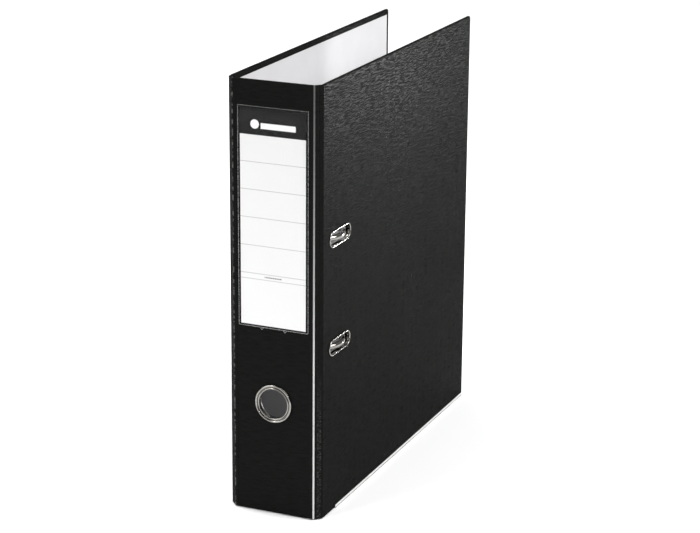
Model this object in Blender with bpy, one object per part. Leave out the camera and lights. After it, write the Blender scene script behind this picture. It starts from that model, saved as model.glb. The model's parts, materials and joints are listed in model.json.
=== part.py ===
"""A4 lever arch file, standing closed on its lower edge, spine towards -Y and front cover towards +X.

Lengths are in metres. The origin is at the middle of the footprint, on the surface the file stands on.
Along the case, u is the distance from the spine's outer face towards the fore edge.
Inside the back cover, h is the height above its lining, towards the front cover.
"""

import math

import bmesh
import bpy
from mathutils import Matrix, Vector

MM = 0.001

# The case: outside size, the bevel strips at its two spine corners, and the layers of its five panels.
FILE_HEIGHT = 318 * MM
FILE_DEPTH = 285 * MM
FILE_THICKNESS = 72 * MM
STRIP_WIDTH = 7 * MM
FOLD = math.radians(45)
FOIL = 0.2 * MM
LAMINATE_GAP = 0.1 * MM
BOARD = 1.5 * MM
LINING = 0.2 * MM
CREASE_GAP = 0.3 * MM
TURN_IN = 15 * MM
LINING_MARGIN = 4 * MM

# The edge shoes: folded steel under the lower edge of each cover.
SHOE_SHEET = 0.4 * MM
SHOE_LEG = 2.6 * MM
SHOE_START = 22 * MM

# The finger ring and its hole in the spine.
FINGER_HEIGHT = 84.5 * MM
FINGER_RADIUS = 11.0 * MM
FINGER_FLANGE = 14.2 * MM
FINGER_PROUD = 1.5 * MM

# The label and its clear pocket on the spine.
LABEL_WIDTH = 50 * MM
LABEL_HEIGHT = 156 * MM
LABEL_BASE = 142 * MM
LABEL_CARD = 0.25 * MM
POCKET_FILM = 0.15 * MM
POCKET_WELD = 1.5 * MM
POCKET_CLEARANCE = 0.5 * MM

# The lever arch mechanism, laid out along u and h on the back cover.
HOLE_PITCH = 80 * MM
MECHANISM_Z = FILE_HEIGHT / 2 + 6 * MM
SHAFT_U = 14 * MM
SHAFT_H = 5.6 * MM
ARCH_SPAN = 38 * MM
ARCH_WIRE = 2.2 * MM
ARCH_PROUD = 2.5 * MM
ARCH_CORNER = 18.5 * MM
ARCH_FOOT_BEND = 5 * MM
POST_RADIUS = 2.2 * MM
POST_TOP_H = 49 * MM
POST_JOINT_GAP = 0.4 * MM
CRANK_ARM = 9.5 * MM
CRANK_LOW_Z = MECHANISM_Z - 1 * MM
CRANK_HIGH_Z = MECHANISM_Z + 27 * MM
CRANK_BEND = 3.5 * MM
BEARING_SPANS = tuple(
    (MECHANISM_Z + low * MM, MECHANISM_Z + high * MM)
    for low, high in ((-34.5, -28.5), (-14, -8), (30.8, 34.8))
)
BEARING_WALL = 1.0 * MM
BEARING_CLEARANCE = 0.35 * MM

PLATE_LENGTH = 162 * MM
PLATE_WIDTH = 58 * MM
PLATE_U = 7 * MM
PLATE_LOW_H = 0.3 * MM
PLATE_TOP_H = 3.0 * MM
PLATE_SHEET = 1.0 * MM
PLATE_CORNER = 6 * MM

LEVER_PIVOT_Z = MECHANISM_Z + 9 * MM
LEVER_REACH = 82 * MM
LEVER_U = SHAFT_U + 8.5 * MM
LEVER_INNER_HALF = 6.0 * MM
LEVER_ARM_HALF = 5.0 * MM
LEVER_SHEET = 1.0 * MM
LEVER_PIN_RADIUS = 1.5 * MM
ROLLER_RADIUS = 4.5 * MM
ROLLER_PIN_RADIUS = 1.2 * MM
ROLLER_ARM = 10 * MM
ROLLER_ANGLE = math.radians(50)
ROLLER_GAP = 0.35 * MM
LUG_SHEET = 1.2 * MM
LUG_HALF = 6 * MM

RIVET_SHANK = 1.8 * MM
RIVET_HEAD = 4.5 * MM
RIVET_PROUD = 0.9 * MM
RIVET_INSET_U = 5.5 * MM
RIVET_INSET_Z = 7 * MM

COMPRESSOR_LENGTH = 150 * MM
COMPRESSOR_WIDTH = 20 * MM
COMPRESSOR_TOP_H = 9 * MM
COMPRESSOR_LOW_H = 5 * MM
COMPRESSOR_SHEET = 1.0 * MM
COMPRESSOR_HOLE = 3.1 * MM
CATCH_WIRE = 0.7 * MM

# The eyelets that line the two slots of the front cover.
EYELET_HALF_STRAIGHT = 12.1 * MM
EYELET_OPENING = 4.8 * MM
EYELET_FLANGE = 6.0 * MM

FIT_GAP = 0.3 * MM
OVERCUT = 5 * MM

# Sizes that follow from those above.
PANEL = FOIL + LAMINATE_GAP + BOARD + LAMINATE_GAP + FOIL + LAMINATE_GAP + LINING
FOIL_DEPTH = PANEL - LINING - LAMINATE_GAP
BEVEL = STRIP_WIDTH * math.sin(FOLD)
SPINE_WIDTH = FILE_THICKNESS - 2 * BEVEL
COVER_WIDTH = FILE_DEPTH - BEVEL
COVER_FOOT = SHOE_SHEET + LAMINATE_GAP
CASE_X = -(ARCH_PROUD - RIVET_PROUD) / 2
SPINE_Y = -(FILE_DEPTH - FINGER_PROUD) / 2
LINING_X = CASE_X - FILE_THICKNESS / 2 + PANEL
ARCH_TOP_H = FILE_THICKNESS - PANEL + ARCH_PROUD - ARCH_WIRE
POST_U = SHAFT_U + ARCH_SPAN
ARCH_MIDDLE_U = SHAFT_U + ARCH_SPAN / 2
ROLLER_H = SHAFT_H + ARCH_WIRE + ROLLER_GAP + ROLLER_RADIUS
LEVER_PIVOT_H = ROLLER_H + ROLLER_ARM * math.cos(ROLLER_ANGLE)
ROLLER_Z = LEVER_PIVOT_Z + ROLLER_ARM * math.sin(ROLLER_ANGLE)
RING_LEVELS = {"lower": MECHANISM_Z - HOLE_PITCH / 2, "upper": MECHANISM_Z + HOLE_PITCH / 2}

# Each panel of the case: its crease in plan, its turn about Z, and where it starts and ends along its own X.
# True at an end means that the panel folds there; False means a free edge.
PANELS = {
    "spine": ((CASE_X, SPINE_Y), 0, (-SPINE_WIDTH / 2, SPINE_WIDTH / 2), (True, True)),
    "front_strip": ((CASE_X + SPINE_WIDTH / 2, SPINE_Y), FOLD, (0, STRIP_WIDTH), (True, True)),
    "back_strip": ((CASE_X - SPINE_WIDTH / 2, SPINE_Y), -FOLD, (-STRIP_WIDTH, 0), (True, True)),
    "front": ((CASE_X + FILE_THICKNESS / 2, SPINE_Y + BEVEL), 2 * FOLD, (0, COVER_WIDTH), (True, False)),
    "back": ((CASE_X - FILE_THICKNESS / 2, SPINE_Y + BEVEL), -2 * FOLD, (-COVER_WIDTH, 0), (False, True)),
}

# Colour, roughness and metallic value of each material.
MATERIALS = {
    "black_foil": ((0.012, 0.012, 0.013), 0.42, 0.0),
    "greyboard": ((0.33, 0.31, 0.28), 0.9, 0.0),
    "lining_paper": ((0.86, 0.86, 0.87), 0.75, 0.0),
    "nickel": ((0.72, 0.71, 0.68), 0.22, 1.0),
    "steel_shoe": ((0.70, 0.70, 0.69), 0.3, 1.0),
    "clear_film": ((0.9, 0.9, 0.9), 0.1, 0.0),
    "label_card": ((0.88, 0.88, 0.88), 0.6, 0.0),
    "spring_steel": ((0.45, 0.45, 0.46), 0.35, 1.0),
}


def material(name):
    """The Principled material of that name, made once."""
    made = bpy.data.materials.get(name)
    if made is None:
        colour, roughness, metallic = MATERIALS[name]
        made = bpy.data.materials.new(name)
        made.use_nodes = True
        shader = made.node_tree.nodes["Principled BSDF"]
        shader.inputs["Base Color"].default_value = (*colour, 1)
        shader.inputs["Roughness"].default_value = roughness
        shader.inputs["Metallic"].default_value = metallic
    return made


def add_object(name, data, finish=None, location=(0, 0, 0), rotation=(0, 0, 0)):
    made = bpy.data.objects.new(name, data)
    made.location = location
    made.rotation_euler = rotation
    bpy.context.scene.collection.objects.link(made)
    if finish:
        data.materials.append(material(finish))
    return made


def mesh_from(name, vertices, faces, smooth=False):
    """A closed mesh with its faces turned outwards."""
    shape = bmesh.new()
    corners = [shape.verts.new(v) for v in vertices]
    for face in faces:
        shape.faces.new([corners[i] for i in face])
    bmesh.ops.recalc_face_normals(shape, faces=shape.faces[:])
    mesh = bpy.data.meshes.new(name)
    shape.to_mesh(mesh)
    shape.free()
    if smooth:
        mesh.shade_smooth()
        mesh.set_sharp_from_angle(angle=math.radians(35))
    return mesh


def prism(name, outline, low, high, along="Z"):
    """An outline of (a, b) points extruded from low to high along an axis.

    The other two axes, in order, are a and b."""
    place = {
        "X": lambda a, b, t: (t, a, b),
        "Y": lambda a, b, t: (a, t, b),
        "Z": lambda a, b, t: (a, b, t),
    }[along]
    count = len(outline)
    vertices = [place(a, b, t) for t in (low, high) for a, b in outline]
    faces = [list(range(count)), list(range(count, 2 * count))]
    for i in range(count):
        after = (i + 1) % count
        faces.append([i, after, count + after, count + i])
    return mesh_from(name, vertices, faces)


def block(name, low, high):
    (x0, y0, z0), (x1, y1, z1) = low, high
    return prism(name, [(x0, y0), (x1, y0), (x1, y1), (x0, y1)], z0, z1)


def rounded_rectangle(a0, b0, a1, b1, radius, steps=6):
    """The outline of a rectangle with its corners rounded."""
    points = []
    for centre_a, centre_b, start in (
        (a1 - radius, b1 - radius, 0),
        (a0 + radius, b1 - radius, 1),
        (a0 + radius, b0 + radius, 2),
        (a1 - radius, b0 + radius, 3),
    ):
        for i in range(steps + 1):
            angle = (start + i / steps) * math.pi / 2
            points.append((centre_a + radius * math.cos(angle), centre_b + radius * math.sin(angle)))
    return points


def oval(centre_a, centre_b, half_straight, radius, steps=12):
    """The outline of a slot with round ends, long along a. With no straight part it is a circle."""
    points = []
    for side, start in ((1, -0.5), (-1, 0.5)):
        for i in range(steps + 1):
            if not half_straight and i == steps:
                continue
            angle = (start + i / steps) * math.pi
            across = centre_a + side * half_straight + radius * math.cos(angle)
            points.append((across, centre_b + radius * math.sin(angle)))
    return points


def turned(name, profile, segments=24):
    """A solid of revolution about Z, from (radius, height) points that start and end on the axis."""
    heights = [profile[0][1], profile[-1][1]]
    rings = profile[1:-1]
    vertices = [(0, 0, heights[0]), (0, 0, heights[1])]
    for radius, height in rings:
        for i in range(segments):
            angle = 2 * math.pi * i / segments
            vertices.append((radius * math.cos(angle), radius * math.sin(angle), height))
    faces = []
    for i in range(segments):
        after = (i + 1) % segments
        faces.append([0, 2 + after, 2 + i])
        last = 2 + (len(rings) - 1) * segments
        faces.append([1, last + i, last + after])
        for ring in range(len(rings) - 1):
            base, above = 2 + ring * segments, 2 + (ring + 1) * segments
            faces.append([base + i, base + after, above + after, above + i])
    return mesh_from(name, vertices, faces, smooth=True)


def oval_ring(name, profile, centre, half_straight=0, steps=12):
    """A closed profile of (radius, depth) points carried round an oval in the XZ plane. Depth is along Y."""
    loops = [oval(centre[0], centre[1], half_straight, radius, steps) for radius, _ in profile]
    count = len(loops[0])
    vertices = [(a, depth, b) for loop, (_, depth) in zip(loops, profile) for a, b in loop]
    faces = []
    for k in range(len(profile)):
        base, above = k * count, (k + 1) % len(profile) * count
        for i in range(count):
            after = (i + 1) % count
            faces.append([base + i, base + after, above + after, above + i])
    return mesh_from(name, vertices, faces, smooth=True)


def boolean(target, other_mesh, operation="DIFFERENCE"):
    """Cuts or joins a helper mesh, given in the target's own frame."""
    helper = add_object("helper_" + other_mesh.name, other_mesh)
    helper.parent = target
    helper.hide_render = True
    helper.display_type = "WIRE"
    modifier = target.modifiers.new(operation.lower(), "BOOLEAN")
    modifier.operation = operation
    modifier.solver = "EXACT"
    modifier.object = helper


def along_back(u, h, z):
    """World place of a point given by u, h and z."""
    return Vector((LINING_X + h, SPINE_Y + u, z))


def panel_outline(panel, depth_low, depth_high, free_inset):
    """A layer's plan: mitred by half the fold at each crease, and set in at a free edge."""
    _, _, (start, end), (folds_at_start, folds_at_end) = PANELS[panel]
    slope = math.tan(FOLD / 2)

    def edge(at, folds, inwards, depth):
        return at + inwards * ((CREASE_GAP / 2 + depth * slope) if folds else free_inset)

    return [
        (edge(start, folds_at_start, 1, depth_low), depth_low),
        (edge(end, folds_at_end, -1, depth_low), depth_low),
        (edge(end, folds_at_end, -1, depth_high), depth_high),
        (edge(start, folds_at_start, 1, depth_high), depth_high),
    ]


def panel_object(name, panel, mesh, finish):
    (x, y), turn, _, _ = PANELS[panel]
    return add_object(name, mesh, finish, (x, y, 0), (0, 0, turn))


def inner_block(name, panel, depth_low, depth_high, inset):
    """A cutter set in from the panel's top, bottom and free edges, and running out past its creases."""
    _, _, (start, end), (folds_at_start, folds_at_end) = PANELS[panel]
    low = start - OVERCUT if folds_at_start else start + inset
    high = end + OVERCUT if folds_at_end else end - inset
    return block(name, (low, depth_low, COVER_FOOT + inset), (high, depth_high, FILE_HEIGHT - inset))


def add_panel(panel):
    """The board, foil and lining of one panel. Returns the three objects."""
    skin = FOIL + LAMINATE_GAP
    board = panel_object(
        panel + "_board",
        panel,
        prism(panel + "_board", panel_outline(panel, skin, skin + BOARD, skin),
              COVER_FOOT + skin, FILE_HEIGHT - skin),
        "greyboard",
    )
    foil = panel_object(
        panel + "_foil",
        panel,
        prism(panel + "_foil", panel_outline(panel, 0, FOIL_DEPTH, 0), COVER_FOOT, FILE_HEIGHT),
        "black_foil",
    )
    boolean(foil, inner_block(panel + "_board_space", panel, FOIL, FOIL_DEPTH - FOIL, FOIL))
    boolean(foil, inner_block(panel + "_turn_in_window", panel, BOARD, FOIL_DEPTH + OVERCUT, TURN_IN))
    lining = panel_object(
        panel + "_lining",
        panel,
        prism(panel + "_lining", panel_outline(panel, PANEL - LINING, PANEL, LINING_MARGIN),
              COVER_FOOT + LINING_MARGIN, FILE_HEIGHT - LINING_MARGIN),
        "lining_paper",
    )
    return board, foil, lining


def add_shoe(panel):
    """The U of folded steel that wraps a cover's lower edge, from near the crease to the fore corner."""
    side = 1 if panel == "front" else -1
    near, far = SHOE_START, COVER_WIDTH - FIT_GAP
    outer = -(SHOE_SHEET + LAMINATE_GAP)
    inner = FOIL_DEPTH + LAMINATE_GAP
    section = [
        (outer, 0),
        (inner + SHOE_SHEET, 0),
        (inner + SHOE_SHEET, SHOE_LEG),
        (inner, SHOE_LEG),
        (inner, SHOE_SHEET),
        (outer + SHOE_SHEET, SHOE_SHEET),
        (outer + SHOE_SHEET, SHOE_LEG),
        (outer, SHOE_LEG),
    ]
    shoe = prism(panel + "_shoe", section, *sorted((side * near, side * far)), along="X")
    return panel_object(panel + "_shoe", panel, shoe, "steel_shoe")


def add_eyelets(front_layers):
    """Slots through the front cover, each lined by an eyelet outside and a washer inside."""
    centre_x = ARCH_MIDDLE_U - BEVEL
    hole = EYELET_OPENING + 0.55 * MM
    tube = EYELET_OPENING + 0.4 * MM
    back_of_washer = PANEL + 0.1 * MM
    profile = [
        (EYELET_OPENING, back_of_washer + 0.7 * MM),
        (EYELET_OPENING, -0.3 * MM),
        (EYELET_OPENING + 0.25 * MM, -0.75 * MM),
        (EYELET_OPENING + 0.6 * MM, -0.9 * MM),
        (EYELET_FLANGE - 0.25 * MM, -0.65 * MM),
        (EYELET_FLANGE, -0.1 * MM),
        (tube, -0.1 * MM),
        (tube, back_of_washer + 0.7 * MM),
    ]
    washer = [
        (tube + 0.15 * MM, back_of_washer),
        (EYELET_FLANGE - 0.1 * MM, back_of_washer),
        (EYELET_FLANGE - 0.1 * MM, back_of_washer + 0.6 * MM),
        (tube + 0.15 * MM, back_of_washer + 0.6 * MM),
    ]
    for level, z in RING_LEVELS.items():
        for layer in front_layers:
            outline = oval(centre_x, z, EYELET_HALF_STRAIGHT, hole)
            boolean(layer, prism("slot_" + level, outline, -OVERCUT, PANEL + OVERCUT, along="Y"))
        for name, section in (("slot_eyelet_", profile), ("slot_washer_", washer)):
            ring = oval_ring(name + level, section, (centre_x, z), EYELET_HALF_STRAIGHT)
            panel_object(name + level, "front", ring, "nickel")


def add_finger_ring(spine_layers):
    """The finger hole through the spine, its flanged ring, and the washer that holds it from inside."""
    hole, tube = FINGER_RADIUS + 1.0 * MM, FINGER_RADIUS + 0.7 * MM
    back_of_washer = PANEL + 0.1 * MM
    for layer in spine_layers:
        outline = oval(0, FINGER_HEIGHT, 0, hole, steps=24)
        boolean(layer, prism("finger_hole", outline, -OVERCUT, PANEL + OVERCUT, along="Y"))
    profile = [
        (FINGER_RADIUS, back_of_washer + 0.8 * MM),
        (FINGER_RADIUS, -0.6 * MM),
        (FINGER_RADIUS + 0.5 * MM, -1.3 * MM),
        (FINGER_RADIUS + 1.4 * MM, -FINGER_PROUD),
        (FINGER_FLANGE - 0.6 * MM, -1.1 * MM),
        (FINGER_FLANGE, -0.1 * MM),
        (tube, -0.1 * MM),
        (tube, back_of_washer + 0.8 * MM),
    ]
    washer = [
        (tube + 0.15 * MM, back_of_washer),
        (FINGER_FLANGE - 0.3 * MM, back_of_washer),
        (FINGER_FLANGE - 0.3 * MM, back_of_washer + 0.7 * MM),
        (tube + 0.15 * MM, back_of_washer + 0.7 * MM),
    ]
    for name, section in (("finger_ring", profile), ("finger_washer", washer)):
        ring = oval_ring(name, section, (0, FINGER_HEIGHT), steps=24)
        panel_object(name, "spine", ring, "nickel")


def add_label():
    """The card label, and the clear pocket that is welded to the spine on three sides and open at the top."""
    half = LABEL_WIDTH / 2
    card_depth = -0.1 * MM - LABEL_CARD
    film_depth = card_depth - 0.1 * MM
    label_top = LABEL_BASE + LABEL_HEIGHT
    label = block("spine_label", (-half, card_depth, LABEL_BASE), (half, -0.1 * MM, label_top))
    panel_object("spine_label", "spine", label, "label_card")
    inside = half + POCKET_CLEARANCE
    low = LABEL_BASE - 0.2 * MM
    high = LABEL_BASE + LABEL_HEIGHT + 1.5 * MM
    pocket = panel_object(
        "label_pocket",
        "spine",
        block("label_pocket", (-inside - POCKET_WELD, film_depth - POCKET_FILM, low - POCKET_WELD),
              (inside + POCKET_WELD, -0.05 * MM, high)),
        "clear_film",
    )
    boolean(pocket, block("label_space", (-inside, film_depth, low), (inside, OVERCUT, high + OVERCUT)))


def add_base_plate():
    """The pressed plate with its turned-down rim, lever lugs and shaft bearings, on the back lining."""
    low_z, high_z = MECHANISM_Z - PLATE_LENGTH / 2, MECHANISM_Z + PLATE_LENGTH / 2
    low_u, high_u = PLATE_U, PLATE_U + PLATE_WIDTH
    plate = add_object(
        "base_plate",
        prism("base_plate", rounded_rectangle(low_u, low_z, high_u, high_z, PLATE_CORNER),
              PLATE_LOW_H, PLATE_TOP_H, along="X"),
        "nickel",
        along_back(0, 0, 0),
    )
    under = rounded_rectangle(
        low_u + PLATE_SHEET, low_z + PLATE_SHEET, high_u - PLATE_SHEET, high_z - PLATE_SHEET,
        PLATE_CORNER - PLATE_SHEET,
    )
    boolean(plate, prism("under_plate", under, -OVERCUT, PLATE_TOP_H - PLATE_SHEET, along="X"))
    for side in (-1, 1):
        inner_u = LEVER_U + side * (LEVER_INNER_HALF + LEVER_SHEET + FIT_GAP)
        faces = sorted((inner_u, inner_u + side * LUG_SHEET))
        top = LEVER_PIVOT_H
        foot = PLATE_TOP_H - 0.5 * MM
        outline = [(foot, LEVER_PIVOT_Z - LUG_HALF), (foot, LEVER_PIVOT_Z + LUG_HALF)]
        for i in range(13):
            angle = math.pi * (0.5 - i / 12)
            outline.append((top + 4.5 * MM * math.cos(angle), LEVER_PIVOT_Z + 4.5 * MM * math.sin(angle)))
        lug = prism("lever_lug", outline, *faces, along="Y")
        boolean(plate, lug, "UNION")
    bore = ARCH_WIRE + BEARING_CLEARANCE
    for low, high in BEARING_SPANS:
        wall = bore + BEARING_WALL
        outline = [(PLATE_TOP_H - 0.5 * MM, SHAFT_U + wall), (PLATE_TOP_H - 0.5 * MM, SHAFT_U - wall)]
        for i in range(13):
            angle = math.pi * (i / 12 - 0.5)
            outline.append((SHAFT_H + wall * math.cos(angle), SHAFT_U + wall * math.sin(angle)))
        boolean(plate, prism("shaft_bearing", outline, low, high), "UNION")
        shaft_way = oval(SHAFT_H, SHAFT_U, 0, bore, steps=10)
        boolean(plate, prism("shaft_way", shaft_way, low - 1 * MM, high + 1 * MM))
    pivot = oval(LEVER_PIVOT_H, LEVER_PIVOT_Z, 0, LEVER_PIN_RADIUS + 0.15 * MM, steps=10)
    boolean(plate, prism("pivot_hole", pivot, SHAFT_U - 2 * OVERCUT, SHAFT_U + 6 * OVERCUT, along="Y"))
    holes = [(u, z, RIVET_SHANK + 0.2 * MM) for u, z in rivet_places()]
    holes += [(POST_U, z, 1.7 * MM) for z in RING_LEVELS.values()]
    holes.append((*spring_rivet_place(), 1.3 * MM))
    for u, z, radius in holes:
        outline = oval(u, z, 0, radius, steps=10)
        boolean(plate, prism("plate_hole", outline, -OVERCUT, PLATE_TOP_H + FIT_GAP, along="X"))
    low, high = spring_span()
    window = [(SHAFT_U + 3 * MM, low - 2 * MM), (SHAFT_U + 24 * MM, low - 2 * MM),
              (SHAFT_U + 24 * MM, high + 2 * MM), (SHAFT_U + 3 * MM, high + 2 * MM)]
    boolean(plate, prism("spring_window", window, 0, PLATE_TOP_H + FIT_GAP, along="X"))
    return plate


def rivet_places():
    """(u, z) of the four rivets that hold the base plate to the back cover."""
    half = PLATE_LENGTH / 2 - RIVET_INSET_Z
    return [
        (u, MECHANISM_Z + side * half)
        for side in (-1, 1)
        for u in (PLATE_U + RIVET_INSET_U, PLATE_U + PLATE_WIDTH - RIVET_INSET_U)
    ]


def spring_span():
    """The stretch of z that the arch spring takes up, under the middle of the crank."""
    middle = (CRANK_LOW_Z + CRANK_HIGH_Z) / 2
    return middle - 5 * MM, middle + 5 * MM


def spring_rivet_place():
    low, high = spring_span()
    return SHAFT_U + 30 * MM, (low + high) / 2


def add_rivets(back_layers):
    """Rivets from outside the back cover, through its layers and the plate, and clinched over the plate."""
    outside_h = -PANEL
    top = PLATE_TOP_H + 0.1 * MM
    profile = [
        (0, outside_h - RIVET_PROUD),
        (RIVET_HEAD * 0.55, outside_h - RIVET_PROUD + 0.05 * MM),
        (RIVET_HEAD * 0.9, outside_h - RIVET_PROUD * 0.65),
        (RIVET_HEAD, outside_h - 0.1 * MM),
        (RIVET_SHANK, outside_h - 0.1 * MM),
        (RIVET_SHANK, top),
        (3.1 * MM, top),
        (2.8 * MM, top + 0.6 * MM),
        (1.4 * MM, top + 0.8 * MM),
        (0, top + 0.8 * MM),
    ]
    for number, (u, z) in enumerate(rivet_places(), 1):
        for layer in back_layers:
            hole = oval(BEVEL - u, z, 0, RIVET_SHANK + 0.2 * MM, steps=10)
            boolean(layer, prism("rivet_hole", hole, -OVERCUT, PANEL + OVERCUT, along="Y"))
        rivet = turned("rivet", profile)
        add_object(f"rivet_{number}", rivet, "nickel", along_back(u, 0, z), (0, math.pi / 2, 0))


def add_posts():
    """The two fixed posts that the sheets hang on, each clinched under the plate."""
    under = PLATE_TOP_H - PLATE_SHEET - 0.1 * MM
    foot = PLATE_TOP_H + 0.1 * MM
    profile = [
        (0, under - 0.8 * MM),
        (2.6 * MM, under - 0.8 * MM),
        (2.6 * MM, under),
        (1.5 * MM, under),
        (1.5 * MM, foot),
        (3.5 * MM, foot),
        (3.5 * MM, foot + 0.5 * MM),
        (POST_RADIUS, foot + 1.1 * MM),
        (POST_RADIUS, POST_TOP_H - 1.2 * MM),
        (POST_RADIUS * 0.72, POST_TOP_H - 0.1 * MM),
        (0, POST_TOP_H),
    ]
    for level, z in RING_LEVELS.items():
        post = turned("post", profile)
        add_object("post_" + level, post, "nickel", along_back(POST_U, 0, z), (0, math.pi / 2, 0))


def rounded_route(corners, steps=5):
    """Points along straight runs with an arc at each (corner, bend radius) between the two ends."""
    points = [Vector(corners[0][0])]
    for (before, _), (corner, radius), (after, _) in zip(corners, corners[1:], corners[2:]):
        corner = Vector(corner)
        back, ahead = (Vector(before) - corner).normalized(), (Vector(after) - corner).normalized()
        centre = corner + (back + ahead) * radius
        for i in range(steps + 1):
            angle = math.pi / 2 * i / steps
            points.append(centre - ahead * radius * math.cos(angle) - back * radius * math.sin(angle))
    points.append(Vector(corners[-1][0]))
    return points


def wire(name, points, radius, finish, location=(0, 0, 0), resolution=4):
    curve = bpy.data.curves.new(name, "CURVE")
    curve.dimensions = "3D"
    curve.bevel_depth = radius
    curve.bevel_resolution = resolution
    curve.use_fill_caps = True
    spline = curve.splines.new("POLY")
    spline.points.add(len(points) - 1)
    for point, place in zip(spline.points, points):
        point.co = (*place, 1)
    return add_object(name, curve, finish, location)


def add_arch_bar():
    """One wire: two arches over to the posts, joined by the shaft. Its crank is under the lever's roller."""
    tip = POST_TOP_H + POST_JOINT_GAP - SHAFT_H
    top = ARCH_TOP_H - SHAFT_H
    low, high = RING_LEVELS["lower"], RING_LEVELS["upper"]
    corners = [
        ((tip, ARCH_SPAN, low), 0),
        ((top, ARCH_SPAN, low), ARCH_CORNER),
        ((top, 0, low), ARCH_CORNER),
        ((0, 0, low), ARCH_FOOT_BEND),
        ((0, 0, CRANK_LOW_Z), CRANK_BEND),
        ((0, CRANK_ARM, CRANK_LOW_Z), CRANK_BEND),
        ((0, CRANK_ARM, CRANK_HIGH_Z), CRANK_BEND),
        ((0, 0, CRANK_HIGH_Z), CRANK_BEND),
        ((0, 0, high), ARCH_FOOT_BEND),
        ((top, 0, high), ARCH_CORNER),
        ((top, ARCH_SPAN, high), ARCH_CORNER),
        ((tip, ARCH_SPAN, high), 0),
    ]
    return wire("arch_bar", rounded_route(corners), ARCH_WIRE, "nickel", along_back(SHAFT_U, SHAFT_H, 0))


def add_arch_spring():
    """The leaf that lifts the crank when the lever lets it go, and the small rivet that holds its root."""
    low, high = spring_span()
    leaf, flat_h, raised_h = 0.5 * MM, 1.0 * MM, 2.5 * MM
    near, knee, root, end = (SHAFT_U + d * MM for d in (4.5, 9, 24, 34))
    outline = [
        (flat_h, end), (flat_h, root), (raised_h, knee), (raised_h, near),
        (raised_h + leaf, near), (raised_h + leaf, knee), (flat_h + leaf, root), (flat_h + leaf, end),
    ]
    leaf = prism("arch_spring", outline, low, high)
    spring = add_object("arch_spring", leaf, "spring_steel", along_back(0, 0, 0))
    u, z = spring_rivet_place()
    boolean(spring, prism("spring_hole", oval(u, z, 0, 1.3 * MM, steps=10), -OVERCUT, OVERCUT, along="X"))
    top = PLATE_TOP_H + 0.1 * MM
    profile = [
        (0, 0.4 * MM), (2.0 * MM, 0.4 * MM), (2.0 * MM, 0.9 * MM), (1.1 * MM, 0.9 * MM),
        (1.1 * MM, top), (2.2 * MM, top), (1.9 * MM, top + 0.5 * MM), (0, top + 0.6 * MM),
    ]
    rivet = turned("spring_rivet", profile, 16)
    add_object("spring_rivet", rivet, "nickel", along_back(u, 0, z), (0, math.pi / 2, 0))


def lever_side():
    """The lever's outline from the side, as (h, z) from its pivot: boss, roller's ear and long arm."""
    roller = (-ROLLER_ARM * math.cos(ROLLER_ANGLE), ROLLER_ARM * math.sin(ROLLER_ANGLE))
    outline = []
    for i in range(9):
        angle = math.radians(80 + 170 * i / 8)
        outline.append((5 * MM * math.sin(angle), 5 * MM * math.cos(angle)))
    for i in range(7):
        angle = math.radians(245 + 115 * i / 6)
        outline.append((roller[0] + 3.4 * MM * math.sin(angle), roller[1] + 3.4 * MM * math.cos(angle)))
    outline += [(-3.2 * MM, 22 * MM), (-2.5 * MM, LEVER_REACH - 6 * MM)]
    for i in range(7):
        angle = math.radians(-90 + 180 * i / 6)
        across, up = 2.9 * MM * math.sin(angle), 2.9 * MM * math.cos(angle)
        outline.append((0.4 * MM + across, LEVER_REACH - 3 * MM + up))
    outline.append((4.2 * MM, 20 * MM))
    return outline


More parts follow.
